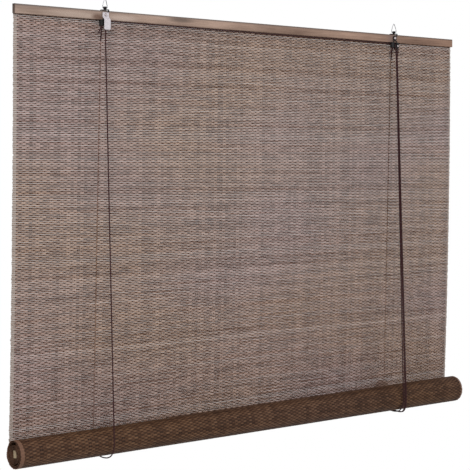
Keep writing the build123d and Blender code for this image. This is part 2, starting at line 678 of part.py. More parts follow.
def right_cord_turn():
    """Up the front, over the right front sheave and down as a pull strand."""
    axle_x = RIGHT_HANGER_X + AXLE_SIDE
    rising_x = RIGHT_HANGER_X + RIGHT_FRONT_TOP_SIDE
    falling_x = RIGHT_HANGER_X + PULL_RIGHT_TOP_SIDE
    points = [
        strand_end(FIRST_SHEAVE_Y, rising_x),
        corner_over(axle_x, FIRST_SHEAVE_Y, rising_x, -1),
        corner_over(axle_x, FIRST_SHEAVE_Y, falling_x, 1),
        strand_end(FIRST_SHEAVE_Y, falling_x),
    ]
    return tube(points, CORD_RADIUS, (CORD_REACH, CORD_REACH))


def pull_tail(x):
    """From the front of the roll, under it and up into the hank behind it."""
    entry_y = HANK_FRONT_Y + HANK_ENTRY
    low = ROLL_Z - BIGHT_RADIUS
    points = [
        Vector(x, ROLL_Y - BIGHT_RADIUS, ROLL_Z),
        Vector(x, ROLL_Y - BIGHT_RADIUS, low),
        Vector(x, entry_y, low),
        Vector(x, entry_y, HANK_BOTTOM_Z + TAIL_IN_HANK),
    ]
    return tube(points, CORD_RADIUS, (ROLL_TURN_BEND, HANK_BEND))


def pull_hank():
    """The two pull strands wound together into an upright hank."""
    ring = racetrack(HANK_RUN, HANK_OUTER_RADIUS) - racetrack(HANK_RUN, HANK_INNER_RADIUS)
    place = Pos(HANK_X, HANK_FRONT_Y + HANK_DEPTH, HANK_BOTTOM_Z + HANK_HEIGHT / 2)
    return place * (FACING_Y * extrude(ring, amount=HANK_DEPTH))


def hank_tie():
    """A tie round the hank and the right lift cord behind the roll."""
    half = HANK_OUTER_RADIUS + TIE_CLEARANCE
    high_y = HANK_FRONT_Y + HANK_DEPTH + TIE_CLEARANCE
    middle = RAIL_TOP_Z - HANK_BOTTOM_Z - HANK_HEIGHT / 2
    top, bottom = middle - TIE_HEIGHT / 2, middle + TIE_HEIGHT / 2
    low_y = back_strand_y(top) - CORD_RADIUS - TIE_CLEARANCE
    tie = block(
        HANK_X - half - TIE_WRAP, HANK_X + half + TIE_WRAP,
        low_y - TIE_WRAP, high_y + TIE_WRAP, top, bottom,
    )
    return tie - block(HANK_X - half, HANK_X + half, low_y, high_y, top, bottom)


def pieces():
    """Every piece by name."""
    left, right = LEFT_HANGER_X, RIGHT_HANGER_X
    first, second = FIRST_SHEAVE_Y, SECOND_SHEAVE_Y
    return {
        "head_rail": head_rail(),
        "mat": mat(),
        "mat_staples": mat_staples(),
        "mat_roll": mat_roll(),
        "core_lath": core_lath(),
        "core_staples": core_staples(),
        "hanger_yoke_left": drilled_yoke(left, LEFT_LOOP_TURN),
        "hanger_yoke_right": drilled_yoke(right, RIGHT_LOOP_TURN),
        "yoke_screws": yoke_screws(),
        "hanging_loop_left": hanging_loop(left, LEFT_LOOP_TURN),
        "hanging_loop_right": hanging_loop(right, RIGHT_LOOP_TURN),
        "pulley_block_left": pulley_block(left, 1),
        "pulley_block_right": pulley_block(right, 2),
        "sheave_left": sheave(left, first),
        "sheave_right_front": sheave(right, first),
        "sheave_right_rear": sheave(right, second),
        "axle_pin_left": axle_pin(left, 1),
        "axle_pin_right": axle_pin(right, 2),
        "paper_tag": paper_tag(),
        "left_cord_knot": cord_knot(left, LEFT_BACK_TOP_SIDE),
        "left_cord_back": back_strand(left, LEFT_BACK_TOP_SIDE, LEFT_BACK_ROLL_SIDE),
        "left_cord_bight": bight(left + LEFT_FRONT_ROLL_SIDE, left + LEFT_BACK_ROLL_SIDE),
        "left_cord_front": front_strand(left, LEFT_FRONT_TOP_SIDE, first, LEFT_FRONT_ROLL_SIDE),
        "left_cord_run": left_cord_run(),
        "right_cord_knot": cord_knot(right, RIGHT_BACK_TOP_SIDE),
        "right_cord_back": back_strand(right, RIGHT_BACK_TOP_SIDE, RIGHT_BACK_ROLL_SIDE),
        "right_cord_bight": bight(right + RIGHT_FRONT_ROLL_SIDE, right + RIGHT_BACK_ROLL_SIDE),
        "right_cord_front": front_strand(right, RIGHT_FRONT_TOP_SIDE, first, RIGHT_FRONT_ROLL_SIDE),
        "right_cord_turn": right_cord_turn(),
        "pull_strand_left": front_strand(right, PULL_LEFT_TOP_SIDE, second, PULL_LEFT_ROLL_SIDE),
        "pull_strand_right": front_strand(right, PULL_RIGHT_TOP_SIDE, first, PULL_RIGHT_ROLL_SIDE),
        "pull_tail_left": pull_tail(right + PULL_LEFT_ROLL_SIDE),
        "pull_tail_right": pull_tail(right + PULL_RIGHT_ROLL_SIDE),
        "pull_hank": pull_hank(),
        "hank_tie": hank_tie(),
    }


os.makedirs("parts", exist_ok=True)
for name, piece in pieces().items():
    export_step(piece, os.path.join("parts", name + ".step"))

print("cord bends, mm:", "sheaves", CORD_REACH, "leads", LEAD_BEND)
print("cord bends, mm:", "under the roll", BIGHT_RADIUS, "into the hank", HANK_BEND)
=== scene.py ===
import math

import bpy
import numpy as np
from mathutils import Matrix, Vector


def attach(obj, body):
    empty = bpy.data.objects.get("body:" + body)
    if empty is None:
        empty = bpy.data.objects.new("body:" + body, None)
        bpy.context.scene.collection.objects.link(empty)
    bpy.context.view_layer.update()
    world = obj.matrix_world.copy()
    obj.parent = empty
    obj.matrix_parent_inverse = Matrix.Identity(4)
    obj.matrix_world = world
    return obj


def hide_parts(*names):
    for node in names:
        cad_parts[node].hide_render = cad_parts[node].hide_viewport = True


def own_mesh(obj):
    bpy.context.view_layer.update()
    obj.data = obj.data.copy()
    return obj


# Metres, in the part's own frame. +X to the right, +Y to the wall, +Z up.
MM = 0.001
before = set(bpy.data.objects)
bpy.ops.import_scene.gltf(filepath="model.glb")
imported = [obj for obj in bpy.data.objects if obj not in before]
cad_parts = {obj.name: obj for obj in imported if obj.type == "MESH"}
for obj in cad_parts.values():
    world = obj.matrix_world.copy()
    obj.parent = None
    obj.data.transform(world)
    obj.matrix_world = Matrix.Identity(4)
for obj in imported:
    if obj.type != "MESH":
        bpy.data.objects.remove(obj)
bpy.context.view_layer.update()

# Places and sizes that repeat the part's own
RAIL_TOP = -24.5 * MM
MAT_LEFT, MAT_RIGHT = -597.5 * MM, 602.5 * MM
MAT_WIDTH = 1.2
MAT_TOP_Y = 5.15 * MM
MAT_BOW = 17.5 * MM
MAT_LENGTH = 834.6 * MM
STICKS = 242
STICK_STEP = MAT_LENGTH / STICKS
ROLL_DROP = 835.0 * MM
ROLL_LEFT, ROLL_RIGHT = -602.4 * MM, 600.6 * MM
ROLL_Y, ROLL_Z = -6.0 * MM, RAIL_TOP - ROLL_DROP
WINDING_RADIUS = 28.65 * MM
TURN_PITCH = 2.4 * MM
LAST_RADIUS = 9.8 * MM
CORD_RADIUS = 1.2 * MM
TIE_RADIUS = 0.9 * MM

# The same in millimetres, for the cords, the hangers and the sheaves
LEFT_HANGER_X, RIGHT_HANGER_X = -396.5, 404.3
FRONT_Y, REAR_Y = -7.8, -3.6
LEAD_Y = 8.1
BIGHT_RADIUS = 32.3
FRONT_ROLL_Y, BACK_ROLL_Y = ROLL_Y / MM - BIGHT_RADIUS, ROLL_Y / MM + BIGHT_RADIUS
FRONT_TOP_Z, BACK_TOP_Z, STRAND_FOOT_Z = -76.75, -100.75, -859.2
BIGHT_TOP_Z, BIGHT_LOW_Z = -859.5, -891.8
LOOP_FOOT_Z = -18.45

# The looks' own sizes
STICK_HALF_HEIGHT = 1.57 * MM
STICK_HALF_DEPTH = 0.5 * MM
STICK_SIDES = 8
STICK_SQUARENESS = 0.8
STICK_PARTS, INNER_STICK_PARTS = 24, 4
STICK_SWAY, STICK_RISE = 0.22 * MM, 0.1 * MM
STICK_SIZES = (0.97, 1.04)
END_JITTER = 0.35 * MM
PALE_LEFT, PALE_RIGHT = 7.5 * MM, 5 * MM
ROLL_TAPER_LEFT, ROLL_TAPER_RIGHT = 0.9496, 1.0487
WARP_FIRST = 8.5 * MM
WARP_COLUMNS = 156
WARP_STEP = (MAT_RIGHT - MAT_LEFT - 2 * WARP_FIRST) / (WARP_COLUMNS - 1)
THREAD_WIDTH = 2.2 * MM
THREAD_RISE = 0.2 * MM
WARP_JITTER, STITCH_JITTER = 0.25 * MM, 0.2 * MM
WIRE_RADIUS = 0.65 * MM
TUBE_SIDES = 12
LATHE_SIDES = 32
SHARP_ANGLE = math.radians(50)
OUTER_LAP = 0.3
SUNK_FROM, SUNK_TO, SUNK_BY = 2.7, 4.1, 16.0 * MM

# A stick's texture place is its own row's number and this much to either side of the row's middle
HALF_ROW = 0.45

# Outputs of the texture coordinate node
UV, OBJECT = 2, 3

random = np.random.default_rng(7)


# ---------------------------------------------------------------- materials
class Shader:
    """A material's node tree, built with short calls."""

    def __init__(self, name, roughness, metallic=0.0):
        self.material = bpy.data.materials.new(name)
        self.material.use_nodes = True
        self.tree = self.material.node_tree
        self.surface = self.tree.nodes["Principled BSDF"]
        self.surface.inputs["Roughness"].default_value = roughness
        self.surface.inputs["Metallic"].default_value = metallic
        self.surface.inputs["Specular IOR Level"].default_value = 0.3 if metallic else 0.15

    def link(self, source, node, socket):
        value = node.inputs[socket]
        if isinstance(source, bpy.types.NodeSocket):
            self.tree.links.new(source, value)
        else:
            value.default_value = source

    def add(self, kind, sockets=(), output=0, **settings):
        node = self.tree.nodes.new(kind)
        for name, value in settings.items():
            setattr(node, name, value)
        for socket, source in dict(sockets).items():
            self.link(source, node, socket)
        return node.outputs[output]

    def maths(self, operation, first, second=0.0, third=0.0):
        return self.add("ShaderNodeMath", {0: first, 1: second, 2: third}, operation=operation)

    def coordinates(self, output, scale):
        source = self.add("ShaderNodeTexCoord", output=output)
        return self.add("ShaderNodeMapping", {"Vector": source, "Scale": scale})

    def split(self, vector):
        """The vector's three values, each as an output."""
        return self.add("ShaderNodeSeparateXYZ", {0: vector}).node.outputs

    def chance(self, dimensions, sockets):
        """A random value for each different input."""
        return self.add("ShaderNodeTexWhiteNoise", sockets, noise_dimensions=dimensions)

    def noise(self, vector, scale=1.0, detail=3.0, roughness=0.5):
        sockets = {"Vector": vector, "Scale": scale, "Detail": detail, "Roughness": roughness}
        return self.add("ShaderNodeTexNoise", sockets)

    def ramp(self, factor, *stops):
        node = self.tree.nodes.new("ShaderNodeValToRGB")
        self.link(factor, node, 0)
        elements = node.color_ramp.elements
        while len(elements) < len(stops):
            elements.new(0.5)
        for element, (place, colour) in zip(elements, stops):
            element.position = place
            element.color = (*colour, 1) if isinstance(colour, tuple) else (colour, colour, colour, 1)
        return node.outputs[0]

    def mix(self, factor, first, second, blend_type="MIX"):
        node = self.tree.nodes.new("ShaderNodeMix")
        node.data_type = "RGBA"
        node.blend_type = blend_type
        for socket, source in ((0, factor), (6, first), (7, second)):
            if isinstance(source, tuple):
                source = (*source, 1)
            self.link(source, node, socket)
        return node.outputs[2]

    def bump(self, height, strength, distance):
        sockets = {"Height": height, "Strength": strength, "Distance": distance}
        self.link(self.add("ShaderNodeBump", sockets), self.surface, "Normal")

    def finish(self, colour):
        if isinstance(colour, tuple):
            colour = (*colour, 1)
        self.link(colour, self.surface, "Base Color")
        return self.material


def bamboo(name, dark, middle, light, edge, left, right, first_warp):
    """Split bamboo, which changes from stick to stick and along each, with painted shade where a thread
    pushes it back.

    Dark, middle and light are its colours, edge is the pale cut wood at the left and right ends, and
    first_warp is 1 where the threads that show start one row later.
    """
    shader = Shader(name, 0.62)
    along, across, _ = shader.split(shader.add("ShaderNodeTexCoord", output=UV))
    row = shader.maths("FLOOR", across)
    warp = shader.maths("DIVIDE", shader.maths("SUBTRACT", along, MAT_LEFT + WARP_FIRST), WARP_STEP)
    weave = shader.maths("ADD", warp, shader.maths("ADD", row, first_warp))
    # Painted shade: each stick is darkened where a warp thread pushes it back, in a brick pattern
    weave_shade = shader.maths("COSINE", shader.maths("MULTIPLY", weave, math.pi))
    cell = shader.maths("FLOOR", shader.maths("MULTIPLY_ADD", weave, 0.5, 0.25))
    by_cell = shader.chance("2D", {"Vector": shader.add("ShaderNodeCombineXYZ", {0: cell, 1: row})})
    by_warp = shader.chance("1D", {"W": shader.maths("ROUND", warp)})
    by_row = shader.chance("1D", {"W": row})
    bands = shader.noise(shader.coordinates(UV, (5, 0.16, 1)), detail=4, roughness=0.7)
    streaks = shader.noise(shader.coordinates(UV, (14, 1.1, 1)), detail=2)
    fibre = shader.noise(shader.coordinates(UV, (160, 14, 1)), detail=2)
    total = shader.maths("MULTIPLY", by_cell, 0.26)
    for part, weight in ((by_row, 0.13), (by_warp, 0.15), (bands, 0.26), (streaks, 0.22), (fibre, 0.34)):
        total = shader.maths("MULTIPLY_ADD", part, weight, total)
    total = shader.maths("MULTIPLY_ADD", weave_shade, -0.2, shader.maths("SUBTRACT", total, 0.23))
    colour = shader.ramp(total, (0.12, dark), (0.45, middle), (0.8, light))
    # Some lengths of the mat are a little warmer, others a little cooler
    drift = shader.noise(shader.coordinates(UV, (1.6, 0.012, 1)), detail=1)
    warm = shader.mix(1.0, colour, (1.0, 0.95, 0.84), "MULTIPLY")
    cool = shader.mix(1.0, colour, (0.95, 0.92, 1.0), "MULTIPLY")
    colour = shader.mix(shader.ramp(drift, (0.40, 0.0), (0.60, 1.0)), warm, cool)
    inside = shader.maths(
        "MULTIPLY",
        shader.maths("GREATER_THAN", along, left + PALE_LEFT),
        shader.maths("LESS_THAN", along, right - PALE_RIGHT),
    )
    pale = shader.mix(0.72, colour, edge)
    shader.bump(fibre, 0.5, 0.0002)
    return shader.finish(shader.mix(inside, pale, colour))


def wood(name, dark, light, right_tint=(1, 1, 1), knots=()):
    """Planed softwood with its grain along X and a darker rim along the top.

    The tint comes in towards the right end. Each knot is a centre, a size and a colour.
    """
    shader = Shader(name, 0.6)
    slow = shader.noise(shader.coordinates(OBJECT, (3, 26, 26)), detail=4, roughness=0.65)
    grain = shader.noise(shader.coordinates(OBJECT, (9, 420, 420)), detail=4, roughness=0.7)
    pores = shader.noise(shader.coordinates(OBJECT, (40, 1500, 1500)), detail=2)
    total = shader.maths("MULTIPLY", slow, 0.75)
    total = shader.maths("MULTIPLY_ADD", grain, 0.25, total)
    total = shader.maths("MULTIPLY_ADD", pores, 0.1, total)
    colour = shader.ramp(total, (0.4, dark), (0.68, light))
    place = shader.add("ShaderNodeTexCoord", output=OBJECT)
    along, _, up = shader.split(place)
    # From 0 at the rail's left end to 1 at its right end, and from 0 some 4 mm below its top upwards
    rightwards = shader.maths("MULTIPLY_ADD", along, 0.83, 0.5)
    rim = shader.ramp(shader.maths("MULTIPLY_ADD", up, 180, 5.15), (0.0, 0.0), (0.5, 0.8))
    colour = shader.mix(rim, colour, (0.10, 0.086, 0.08))
    tinted = shader.mix(1.0, colour, right_tint, "MULTIPLY")
    colour = shader.mix(rightwards, colour, tinted)
    for centre, size, tint in knots:
        away = shader.add("ShaderNodeVectorMath", {0: place, 1: centre}, operation="SUBTRACT")
        away = shader.add("ShaderNodeVectorMath", {0: away, 1: size}, operation="DIVIDE")
        away = shader.add("ShaderNodeVectorMath", {0: away}, output=1, operation="LENGTH")
        near = shader.ramp(away, (0.35, 0.75), (1.0, 0.0))
        colour = shader.mix(near, colour, tint)
    shader.bump(grain, 0.35, 0.0003)
    return shader.finish(colour)


def coated(name, colour, worn, roughness):
    """Paint or moulded plastic with a fine grain."""
    shader = Shader(name, roughness)
    grain = shader.noise(shader.coordinates(OBJECT, (900, 900, 900)), detail=2)
    wear = shader.noise(shader.coordinates(OBJECT, (220, 220, 220)), detail=3)
    shader.bump(grain, 0.15, 0.0001)
    return shader.finish(shader.ramp(wear, (0.55, colour), (0.8, worn)))


def metal(name, colour, dull, roughness):
    """Bright metal, a little dulled in places."""
    shader = Shader(name, roughness, metallic=1.0)
    cloud = shader.noise(shader.coordinates(OBJECT, (300, 300, 300)), detail=3)
    shader.bump(cloud, 0.1, 0.0001)
    return shader.finish(shader.ramp(cloud, (0.4, colour), (0.75, dull)))


def braid(name, colour, light):
    """Braided cord: two sets of strands that cross round it."""
    shader = Shader(name, 0.75)
    along, around, _ = shader.split(shader.add("ShaderNodeTexCoord", output=UV))
    length = shader.maths("MULTIPLY", along, 2 * math.pi / (2.6 * MM))
    turn = shader.maths("MULTIPLY", around, 8 * math.pi)
    one = shader.maths("SINE", shader.maths("ADD", length, turn))
    two = shader.maths("SINE", shader.maths("SUBTRACT", length, turn))
    strands = shader.maths("MULTIPLY_ADD", shader.maths("MULTIPLY", one, two), 0.5, 0.5)
    fuzz = shader.noise(shader.coordinates(UV, (1500, 30, 1)), detail=2)
    shade = shader.maths("MULTIPLY", strands, fuzz)
    shader.bump(strands, 0.6, 0.0004)
    return shader.finish(shader.ramp(shade, (0.1, colour), (0.7, light)))


def paper(name):
    """Smooth paper with faint grey marks."""
    shader = Shader(name, 0.55)
    marks = shader.noise(shader.coordinates(OBJECT, (170, 1, 420)), detail=3, roughness=0.7)
    colour = shader.ramp(marks, (0.35, (0.36, 0.335, 0.35)), (0.55, (0.47, 0.435, 0.455)))
    shader.bump(marks, 0.15, 0.0002)
    return shader.finish(colour)


FRONT_BAMBOO = bamboo(
    "bamboo front", (0.039, 0.021, 0.016), (0.142, 0.090, 0.070), (0.295, 0.208, 0.172),
    (0.25, 0.205, 0.175), MAT_LEFT, MAT_RIGHT, 0.0,
)
BACK_BAMBOO = bamboo(
    "bamboo back", (0.014, 0.006, 0.0035), (0.056, 0.026, 0.0135), (0.125, 0.070, 0.041),
    (0.16, 0.085, 0.055), ROLL_LEFT, ROLL_RIGHT, 1.0,
)
# Painted shade: the back bamboo again, with much darker cut ends, for the turns deep inside the roll
SHADED_INNER_BAMBOO = bamboo(
    "bamboo inside the roll", (0.010, 0.005, 0.003), (0.05, 0.024, 0.014), (0.12, 0.07, 0.045),
    (0.075, 0.036, 0.020), ROLL_LEFT, ROLL_RIGHT, 1.0,
)
THREAD = coated("warp thread", (0.055, 0.029, 0.020), (0.12, 0.07, 0.05), 0.85)
BACK_THREAD = coated("warp thread back", (0.035, 0.018, 0.011), (0.07, 0.04, 0.026), 0.85)
RAIL_WOOD = wood(
    "rail wood", (0.13, 0.088, 0.068), (0.35, 0.26, 0.21), (0.82, 0.68, 0.6),
    [
        ((-0.6, 0, RAIL_TOP - 0.009), (0.0012, 0.1, 0.1), (0.035, 0.022, 0.017)),
        ((-0.46, -0.004, RAIL_TOP - 0.012), (0.09, 0.02, 0.009), (0.33, 0.255, 0.21)),
        ((-0.36, -0.004, RAIL_TOP - 0.012), (0.05, 0.02, 0.009), (0.36, 0.28, 0.235)),
        ((-0.416, -0.004, RAIL_TOP - 0.013), (0.018, 0.02, 0.008), (0.075, 0.034, 0.02)),
        ((-0.215, -0.004, RAIL_TOP - 0.006), (0.04, 0.02, 0.007), (0.085, 0.062, 0.05)),
        ((0.395, -0.004, RAIL_TOP - 0.008), (0.02, 0.02, 0.02), (0.15, 0.10, 0.085)),
    ],
)
PALE_WOOD = wood("pale wood", (0.17, 0.125, 0.075), (0.36, 0.28, 0.18))
BLACK = coated("black coating", (0.005, 0.004, 0.0045), (0.02, 0.017, 0.017), 0.42)
PLASTIC = coated("black plastic", (0.012, 0.010, 0.010), (0.025, 0.021, 0.021), 0.5)
STEEL = metal("zinc steel", (0.42, 0.37, 0.37), (0.26, 0.23, 0.23), 0.45)
WIRE = metal("bright wire", (0.22, 0.22, 0.23), (0.12, 0.12, 0.13), 0.25)
CORD = braid("cord", (0.020, 0.006, 0.007), (0.055, 0.019, 0.021))
PAPER = paper("tag paper")


# ---------------------------------------------------------------- mesh helpers
def piece(name, points, faces, uvs, material, body, slot, *nodes):
    """A smooth mesh piece that rides on a body and stands for CAD nodes."""
    mesh = bpy.data.meshes.new(name)
    mesh.from_pydata(points.tolist(), [], faces if isinstance(faces, list) else faces.tolist())
    layer = mesh.uv_layers.new(name="UVMap")
    corners = np.empty(len(mesh.loops), np.int32)
    mesh.loops.foreach_get("vertex_index", corners)
    layer.data.foreach_set("uv", np.asarray(uvs, np.float32)[corners].ravel())
    mesh.shade_smooth()
    mesh.set_sharp_from_angle(angle=SHARP_ANGLE)
    mesh.materials.append(material)
    thing = bpy.data.objects.new(name, mesh)
    bpy.context.scene.collection.objects.link(thing)
    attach(thing, body)
    if nodes:
        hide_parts(*nodes)
    return thing


def ring_faces(rings, sides):
    """The quads between neighbouring rings of points."""
    ring, side = np.meshgrid(np.arange(rings - 1), np.arange(sides), indexing="ij")
    first = ring * sides + side
    second = ring * sides + (side + 1) % sides
    return np.stack([first, second, second + sides, first + sides], -1).reshape(-1, 4)


def end_faces(count, sides):
    """The first and the last ring of points as faces."""
    return [list(range(sides))[::-1], list(range(count - sides, count))]


def spline(points):
    """Points along the smooth line that has these as its control points."""
    curve = bpy.data.curves.new("route", "CURVE")
    curve.dimensions = "3D"
    line = curve.splines.new("NURBS")
    line.points.add(len(points) - 1)
    for target, source in zip(line.points, points):
        target.co = (*source, 1)
    line.order_u = 3
    line.use_endpoint_u = True
    line.resolution_u = 6
    thing = bpy.data.objects.new("route", curve)
    bpy.context.scene.collection.objects.link(thing)
    mesh = bpy.data.meshes.new_from_object(thing.evaluated_get(bpy.context.evaluated_depsgraph_get()))
    found = np.array([vertex.co for vertex in mesh.vertices])
    bpy.data.objects.remove(thing)
    bpy.data.curves.remove(curve)
    bpy.data.meshes.remove(mesh)
    return found


def tube(path, radius):
    """Points, faces and texture places of a round tube along a path, closed at both ends."""
    path = np.asarray(path, float)
    run = np.gradient(path, axis=0)
    run /= np.linalg.norm(run, axis=1)[:, None]
    seed = np.array((1.0, 0, 0)) if abs(run[0][0]) < 0.8 else np.array((0, 0, 1.0))
    normal = np.cross(run[0], seed)
    points, uvs = [], []
    turns = np.arange(TUBE_SIDES) * 2 * math.pi / TUBE_SIDES
    gone = np.concatenate([[0], np.cumsum(np.linalg.norm(np.diff(path, axis=0), axis=1))])
    for centre, way, far in zip(path, run, gone):
        normal = normal - way * normal.dot(way)
        normal /= np.linalg.norm(normal)
        other = np.cross(way, normal)
        points.append(centre + radius * (np.outer(np.cos(turns), normal) + np.outer(np.sin(turns), other)))
        uvs.append(np.stack([np.full(TUBE_SIDES, far), np.arange(TUBE_SIDES) / TUBE_SIDES], -1))
    points = np.concatenate(points)
    faces = ring_faces(len(path), TUBE_SIDES).tolist() + end_faces(len(points), TUBE_SIDES)
    return points, faces, np.concatenate(uvs)


def lathe(centre, upright, profile, closed=False):
    """A round piece about a line through its centre, upright or else along Y, all in millimetres.

    The profile gives radius and height pairs. A closed one is a ring, an open one gets end faces.
    """
    turns = np.arange(LATHE_SIDES) * 2 * math.pi / LATHE_SIDES
    pairs = list(profile) + [profile[0]] * closed
    points = []
    for radius, height in pairs:
        one, two = radius * np.cos(turns), radius * np.sin(turns)
        along = np.full(LATHE_SIDES, height)
        points.append(np.stack([one, two, along] if upright else [one, along, -two], -1))
    points = np.array(centre) + np.concatenate(points)
    faces = ring_faces(len(pairs), LATHE_SIDES).tolist()
    if not closed:
        faces += end_faces(len(points), LATHE_SIDES)
    return points * MM, faces, points[:, :2] * MM


def joined(parts):
    """Several meshes' points, faces and texture places as one."""
    points, faces, uvs, start = [], [], [], 0
    for part_points, part_faces, part_uvs in parts:
        points.append(part_points)
        faces += [[corner + start for corner in face] for face in part_faces]
        uvs.append(part_uvs)
        start += len(part_points)
    return np.concatenate(points), faces, np.concatenate(uvs)


# ---------------------------------------------------------------- camera
# As fitted to the photo, with its focal length and its horizon in pixels
PICTURE, FOCAL, HORIZON, SENSOR = 470, 1391.38, 163.30, 36.0
camera_data = bpy.data.cameras.new("camera")
camera = bpy.data.objects.new("camera", camera_data)
bpy.context.scene.collection.objects.link(camera)
camera.location = (-1.91432, -2.25618, -0.32102)
camera.rotation_euler = (math.radians(90), 0, math.radians(-39.27))
camera_data.sensor_width = SENSOR
camera_data.lens = FOCAL / PICTURE * SENSOR
camera_data.shift_y = -(PICTURE / 2 - HORIZON) / PICTURE
bpy.context.scene.camera = camera


# ---------------------------------------------------------------- cords
def mm(*points):
    """Points in millimetres as points in metres."""
    return [tuple(value * MM for value in point) for point in points]


def cord_piece(name, routes, body, *nodes, radius=CORD_RADIUS):
    """One or more smooth stretches of cord as one piece."""
    paths = [spline(route) for route in routes]
    made = piece(name, *joined([tube(path, radius) for path in paths]), CORD, body, "cord", *nodes)
    return made, paths


def strand(name, top, bottom, node):
    """A straight stretch of cord with a mesh of its own, which in the blind shortens towards its top as the
    roll rises.
    """
    top, bottom = mm(top, bottom)
    middle = tuple((a + b) / 2 for a, b in zip(top, bottom))
    made, paths = cord_piece(name, [[top, middle, bottom]], "root", node)
    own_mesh(made)
    return made, paths[0]


def lift_cord(side, front_top_x, front_x, back_top_x, back_x):
    """A lift cord's strands in front of the mat and behind it."""
    strand(
        side + "_lift_front", (front_top_x, FRONT_Y, FRONT_TOP_Z), (front_x, FRONT_ROLL_Y, STRAND_FOOT_Z),
        side + "_cord_front",
    )
    strand(
        side + "_lift_back", (back_top_x, LEAD_Y, BACK_TOP_Z), (back_x, BACK_ROLL_Y, STRAND_FOOT_Z),
        side + "_cord_back",
    )


def bight(side, front_x, back_x):
    """A lift cord's turn under the roll."""
    under = mm(
        (front_x, FRONT_ROLL_Y, BIGHT_TOP_Z), (front_x, FRONT_ROLL_Y, BIGHT_LOW_Z),
        (back_x, BACK_ROLL_Y, BIGHT_LOW_Z), (back_x, BACK_ROLL_Y, BIGHT_TOP_Z),
    )
    cord_piece(side + "_lift_under", [under], "lift", side + "_cord_bight")


lift_cord("left", -400.4, -400.7, -401.6, -406.4)
lift_cord("right", 404.6, 396.4, 401.2, 398.0)
bight("left", -400.7, -406.4)
bight("right", 396.4, 398.0)

# Over the sheaves: corners of the run, each with a point beside it for its bend
left_over = mm(
    (-400.4, FRONT_Y, -76.5), (-400.1, FRONT_Y, -60), (-399.9, FRONT_Y, -45.6), (-394.5, FRONT_Y, -45.5),
    (-370, FRONT_Y, -45.5), (0, -5.7, -45.5), (380, -3.7, -45.5), (405.6, REAR_Y, -45.5),
    (411.2, REAR_Y, -45.5), (410.4, REAR_Y, -60), (408.8, REAR_Y, -76.5),
)
cord_piece("left_lift_over", [left_over], "root", "left_cord_run")
right_over = mm(
    (404.6, FRONT_Y, -76.5), (402.6, FRONT_Y, -62), (400.7, FRONT_Y, -50), (401.6, FRONT_Y, -45.2),
    (406.1, FRONT_Y, -44.9), (410.6, FRONT_Y, -45.2), (411.3, FRONT_Y, -50), (409.8, FRONT_Y, -62),
    (407.7, FRONT_Y, -76.5),
)
cord_piece("right_lift_over", [right_over], "root", "right_cord_turn")

KNOT_POINTS, KNOT_SIZE, KNOT_Z = 19, 0.62, -57.45


def knot_loop(centre, size):
    """The tight turns of a simple knot, as control points in millimetres."""
    turns = np.linspace(0, 2 * math.pi, KNOT_POINTS)
    x = np.sin(turns) + 2 * np.sin(2 * turns)
    z = np.cos(turns) - 2 * np.cos(2 * turns)
    y = -1.6 * np.sin(3 * turns)
    return [(centre[0] + size * a, centre[1] + size * b, centre[2] + size * c) for a, b, c in zip(x, y, z)]


def lift_knot(side, hanger_x, back_x):
    """The knot under the becket, the stretch up to it, the cut end and the lead back through the mat."""
    x, y, z = hanger_x - 13, FRONT_Y, KNOT_Z
    routes = [
        knot_loop((x, y, z), KNOT_SIZE),
        [(x, y, z), (x, y, z + 3.5), (x, y, z + 7.9)],
        [(x, y, z), (x - 2.4, y + 0.4, z - 4), (x - 4.2, y + 1.6, z - 8), (x - 6.5, y + 3.0, z - 12.5)],
        [
            (x, y, z), (x + 2, y + 4, z - 7), (back_x - 1, 5.6, -83),
            (back_x, LEAD_Y, -90), (back_x, LEAD_Y, -100.5),
        ],
    ]
    cord_piece(side + "_lift_knot", [mm(*route) for route in routes], "root", side + "_cord_knot")


lift_knot("left", LEFT_HANGER_X, -401.6)
lift_knot("right", RIGHT_HANGER_X, 401.2)

# Free cords: the two pull strands, and what is left of them in a hank behind the roll. The hank has
# a straight run between half round folds, five layers of folds, and three turns of each strand to a
# layer. Sizes in millimetres.
HANK_X, HANK_Y, HANK_Z = 400.0, 34.85, -852.8
HANK_RUN, HANK_INNER, CORD_MM = 15.6, 7.6, 2.4
HANK_LAYERS, LAYER_TURNS = 5, 3
HANK_PRESS = 0.86
STEP_IN_FROM = 0.75
FOLD_POINTS = 7
FOLD_SWELL = 1.03
TIE_TURNS, TIE_PITCH, TIE_START = 3, 2.0, -2.4


def hank_turns(side):
    """A strand's turns, from the outermost layer inwards, on one half of the hank's depth."""
    points = []
    turn_points = 2 * (FOLD_POINTS + 1)
    half_run = HANK_RUN / 2
    for index in range(HANK_LAYERS * LAYER_TURNS * turn_points):
        turn, share = divmod(index / turn_points, 1)
        layer = HANK_LAYERS - 1 - int(turn // LAYER_TURNS)
        across = turn % LAYER_TURNS + share
        if layer % 2:
            across = LAYER_TURNS - across
        if share >= STEP_IN_FROM and turn % LAYER_TURNS == LAYER_TURNS - 1:
            layer -= (share - STEP_IN_FROM) / (1 - STEP_IN_FROM)
        radius = (HANK_INNER + CORD_MM * layer) * FOLD_SWELL
        spot = index % turn_points
        if spot == 0:
            x, z = radius, 0.0
        elif spot <= FOLD_POINTS:
            angle = math.pi * (spot - 1) / (FOLD_POINTS - 1)
            x, z = radius * math.cos(angle), half_run + radius * math.sin(angle)
        elif spot == FOLD_POINTS + 1:
            x, z = -radius, 0.0
        else:
            angle = math.pi * (1 + (spot - FOLD_POINTS - 2) / (FOLD_POINTS - 1))
            x, z = radius * math.cos(angle), -half_run + radius * math.sin(angle)
        y = HANK_Y + side * (CORD_MM / 2 + CORD_MM * across * HANK_PRESS)
        points.append((HANK_X + x, y, HANK_Z + z))
    return points


